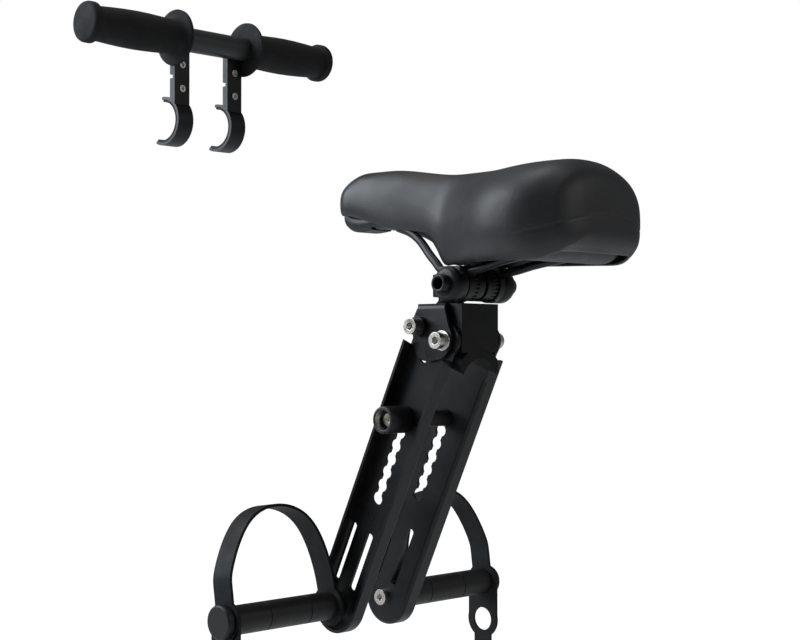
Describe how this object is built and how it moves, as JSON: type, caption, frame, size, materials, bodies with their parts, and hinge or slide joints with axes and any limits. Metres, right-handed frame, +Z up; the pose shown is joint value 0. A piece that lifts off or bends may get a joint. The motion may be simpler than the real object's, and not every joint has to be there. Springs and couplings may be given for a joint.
{
  "type": "kids handlebar bike seat",
  "caption": "Child's padded saddle on a folded top-tube bracket with slotted steel legs, foot pegs and rubber straps, plus a short clamp-on handlebar with grips.",
  "frame": {"origin": "on the axis of the bicycle's top tube, below the middle of the bracket", "axes": "+X to the bicycle's right, +Y to its front, +Z up"},
  "size_m": [0.322, 0.4718, 0.5898],
  "materials": {
    "black_steel": "satin",
    "black_alloy": "satin",
    "bar_steel": "satin",
    "bright_steel": "satin",
    "strap_rubber": "matte",
    "grip_rubber": "matte",
    "black_plastic": "satin",
    "vinyl": "satin"
  },
  "bodies": {
    "base": {"child_bar": "bar_steel", "clamp_band": "black_steel", "left_bar_liner": "strap_rubber", "left_clamp_body": "black_alloy", "left_grip": "grip_rubber", "left_index_bolt": "bright_steel", "left_index_nut": "bright_steel", "left_index_spacer": "black_steel", "left_lower_jaw": "black_alloy", "left_lower_screw": "bright_steel", "left_pivot_bolt": "bright_steel", "left_pivot_nut": "bright_steel", "left_pivot_washer": "bright_steel", "left_toothed_washer": "black_steel", "left_upper_jaw": "black_alloy", "left_upper_screw": "bright_steel", "right_bar_liner": "strap_rubber", "right_clamp_body": "black_alloy", "right_grip": "grip_rubber", "right_index_bolt": "bright_steel", "right_index_nut": "bright_steel", "right_index_spacer": "black_steel", "right_lower_jaw": "black_alloy", "right_lower_screw": "bright_steel", "right_pivot_bolt": "bright_steel", "right_pivot_nut": "bright_steel", "right_pivot_washer": "bright_steel", "right_toothed_washer": "black_steel", "right_upper_jaw": "black_alloy", "right_upper_screw": "bright_steel", "seat_post": "black_steel", "top_bracket": "black_steel", "tube_pad": "strap_rubber"},
    "legs": {"left_foot_peg": "black_plastic", "left_foot_strap": "strap_rubber", "left_leg": "black_steel", "left_peg_bolt": "bright_steel", "left_peg_cap": "black_plastic", "left_peg_nut": "bright_steel", "right_foot_peg": "black_plastic", "right_foot_strap": "strap_rubber", "right_leg": "black_steel", "right_peg_bolt": "bright_steel", "right_peg_cap": "black_plastic", "right_peg_nut": "bright_steel"},
    "rod": {"cross_rod": "bright_steel", "rod_knob": "black_plastic", "rod_nut": "bright_steel", "rod_sleeve": "black_plastic"},
    "saddle": {"clamp_bolt": "bright_steel", "left_clamp_nut": "bright_steel", "left_inner_cheek": "black_steel", "left_outer_cheek": "black_steel", "left_rail": "black_steel", "right_clamp_nut": "bright_steel", "right_inner_cheek": "black_steel", "right_outer_cheek": "black_steel", "right_rail": "black_steel", "saddle_base": "black_plastic", "saddle_cover": "vinyl"}
  },
  "joints": [
    {"name": "leg_angle", "type": "hinge", "parent": "base", "child": "legs", "pos_m": [0, -0.01047, 0.02935], "axis": [1, 0, 0], "range_deg": [0, 11]},
    {"name": "rod_slide", "type": "slide", "parent": "legs", "child": "rod", "axis": [0, 0.4226, -0.9063], "range_m": [0, 0.072]},
    {"name": "saddle_tilt", "type": "hinge", "parent": "base", "child": "saddle", "pos_m": [0, -0.0186, 0.0733], "axis": [1, 0, 0], "range_deg": [-10, 10]}
  ]
}
